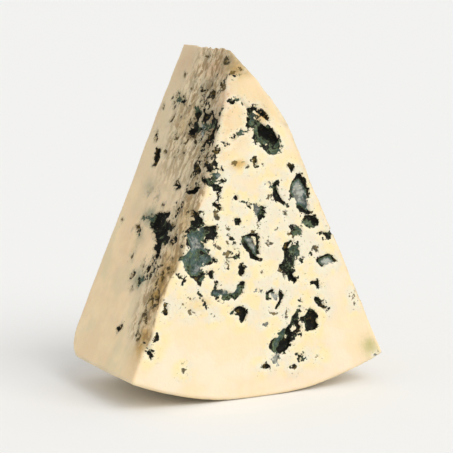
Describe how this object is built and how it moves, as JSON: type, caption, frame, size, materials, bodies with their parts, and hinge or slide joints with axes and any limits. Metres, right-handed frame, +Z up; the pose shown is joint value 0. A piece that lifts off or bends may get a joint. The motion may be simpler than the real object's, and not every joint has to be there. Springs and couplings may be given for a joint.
{
  "type": "cheese wedge",
  "caption": "Wedge of veined blue cheese standing on its rind, cut from half of a round wheel, with a crumbled tip and mould pockets.",
  "frame": {"origin": "middle of the wedge's outer box, on the surface it stands on", "axes": "+Z up from the rind to the tip; +Y from the wide cut face to the wheel's flat rind; +X to the right as seen from the wide cut face"},
  "size_m": [0.0824, 0.05, 0.1005],
  "materials": {
    "cheese": "satin, moist, creamy, with blue-green mould"
  },
  "bodies": {
    "root": {"cheese_wedge": "cheese"}
  },
  "joints": []
}
